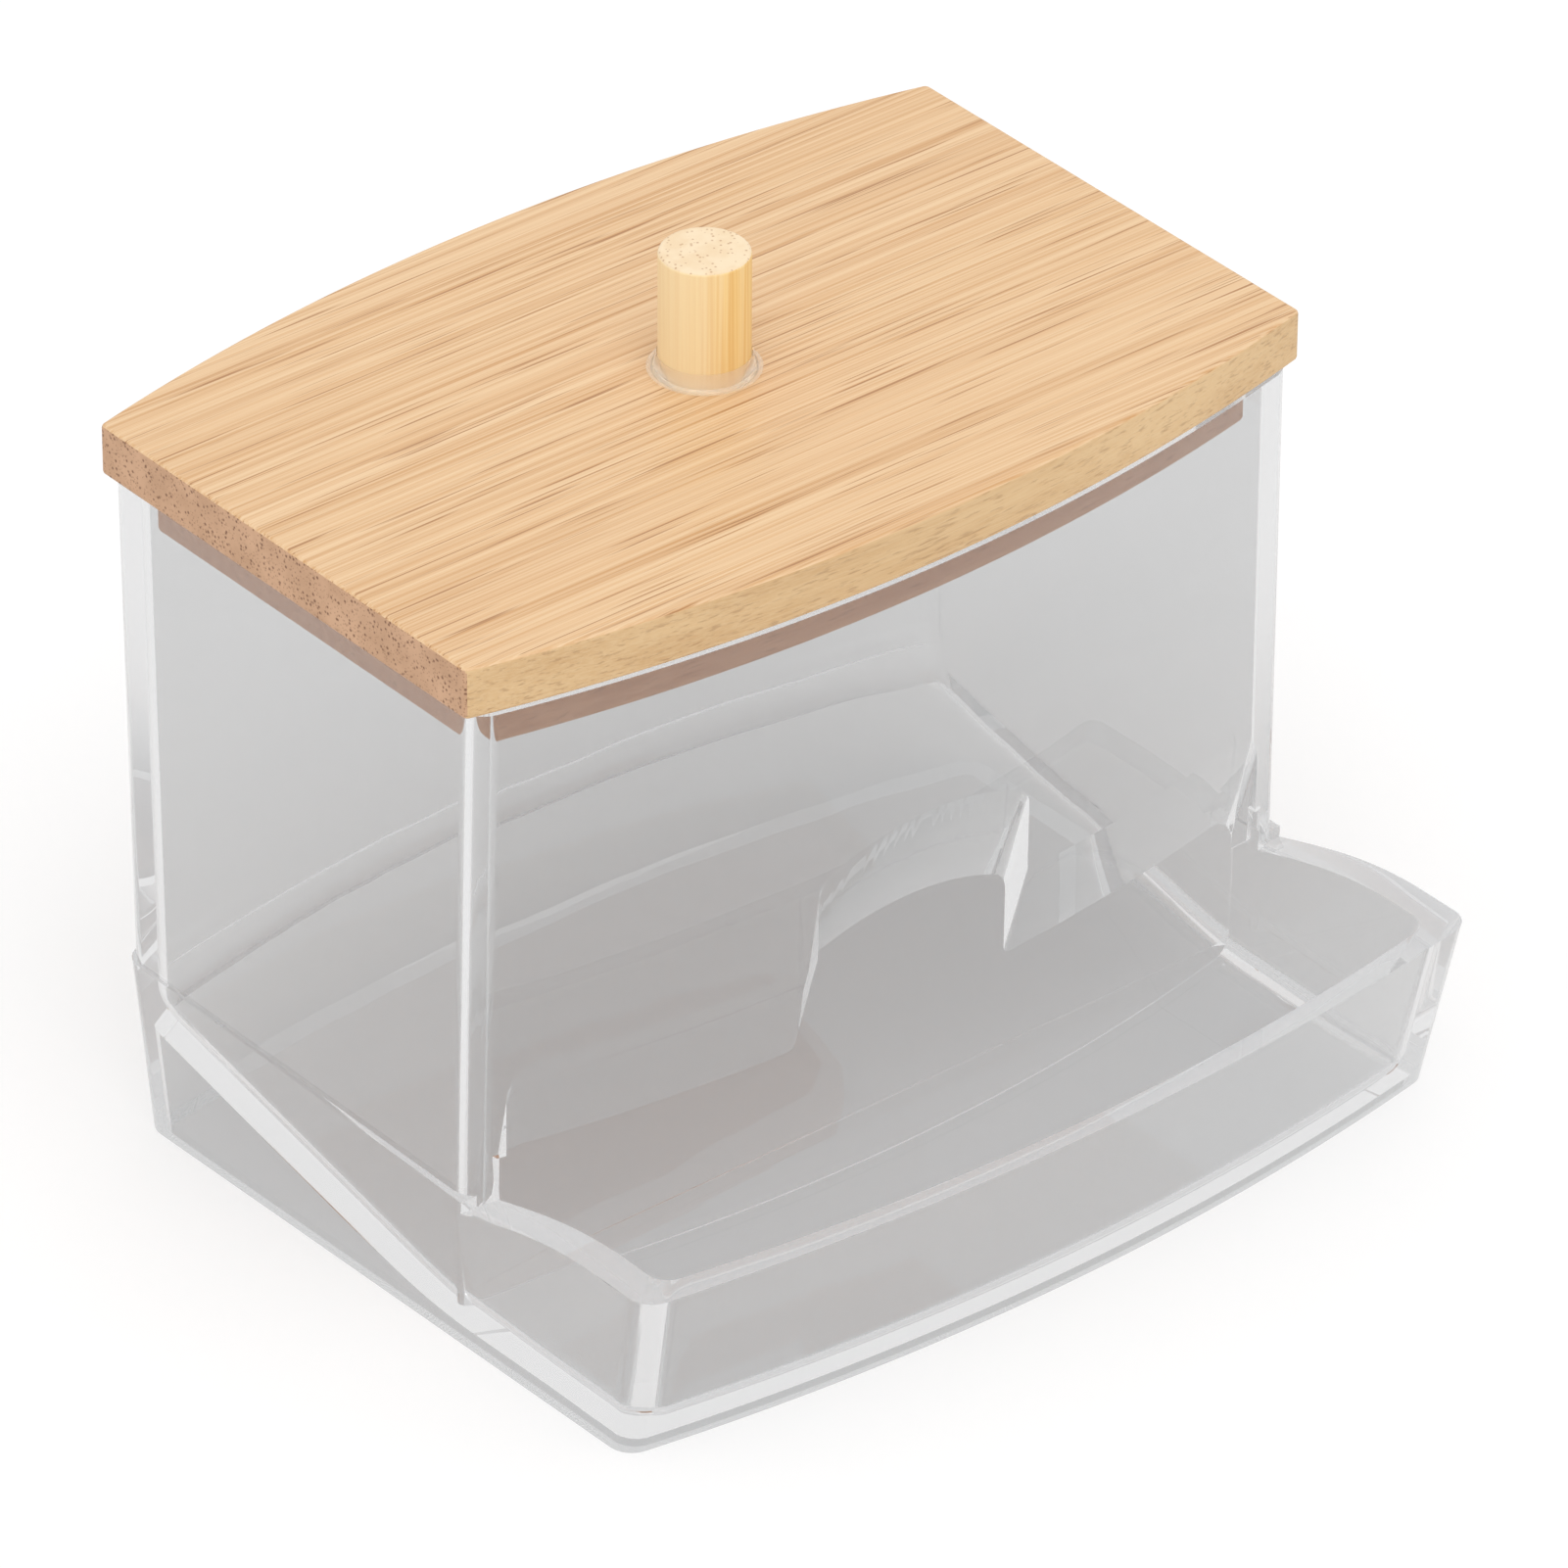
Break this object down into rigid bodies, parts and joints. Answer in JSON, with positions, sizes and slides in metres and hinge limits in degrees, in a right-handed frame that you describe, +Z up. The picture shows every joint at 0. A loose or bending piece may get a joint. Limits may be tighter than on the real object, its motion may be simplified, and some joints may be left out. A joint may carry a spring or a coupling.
{
  "type": "swab dispenser box",
  "caption": "Clear moulded swab dispenser: bowed hopper with a sloping floor, an arched front notch, an open front tray and a lift-off bamboo lid with a dowel knob.",
  "frame": {"origin": "bottom centre of the whole box, on the surface it stands on", "axes": "+Z up, -Y towards the open tray and the user, +X to the user's right"},
  "size_m": [0.1022, 0.0914, 0.0878],
  "materials": {
    "clear_plastic": "clear polished styrene, slightly grey where walls overlap",
    "bamboo_face": "satin side-pressed bamboo with fine stripes along its width",
    "bamboo_board": "bare bamboo, darker than the lid",
    "bamboo_dowel": "smooth bamboo dowel with a dotted end grain",
    "clear_glue": "clear hardened glue"
  },
  "bodies": {
    "box": {"clear_body": "clear_plastic"},
    "lid": {"lid_plate": "bamboo_face", "lid_plug": "bamboo_board", "lid_knob": "bamboo_dowel", "knob_glue_bead": "clear_glue"}
  },
  "joints": [
    {"name": "lid_lift", "type": "slide", "parent": "box", "child": "lid", "axis": [0, 0, 1], "range_m": [0, 0.03]}
  ]
}
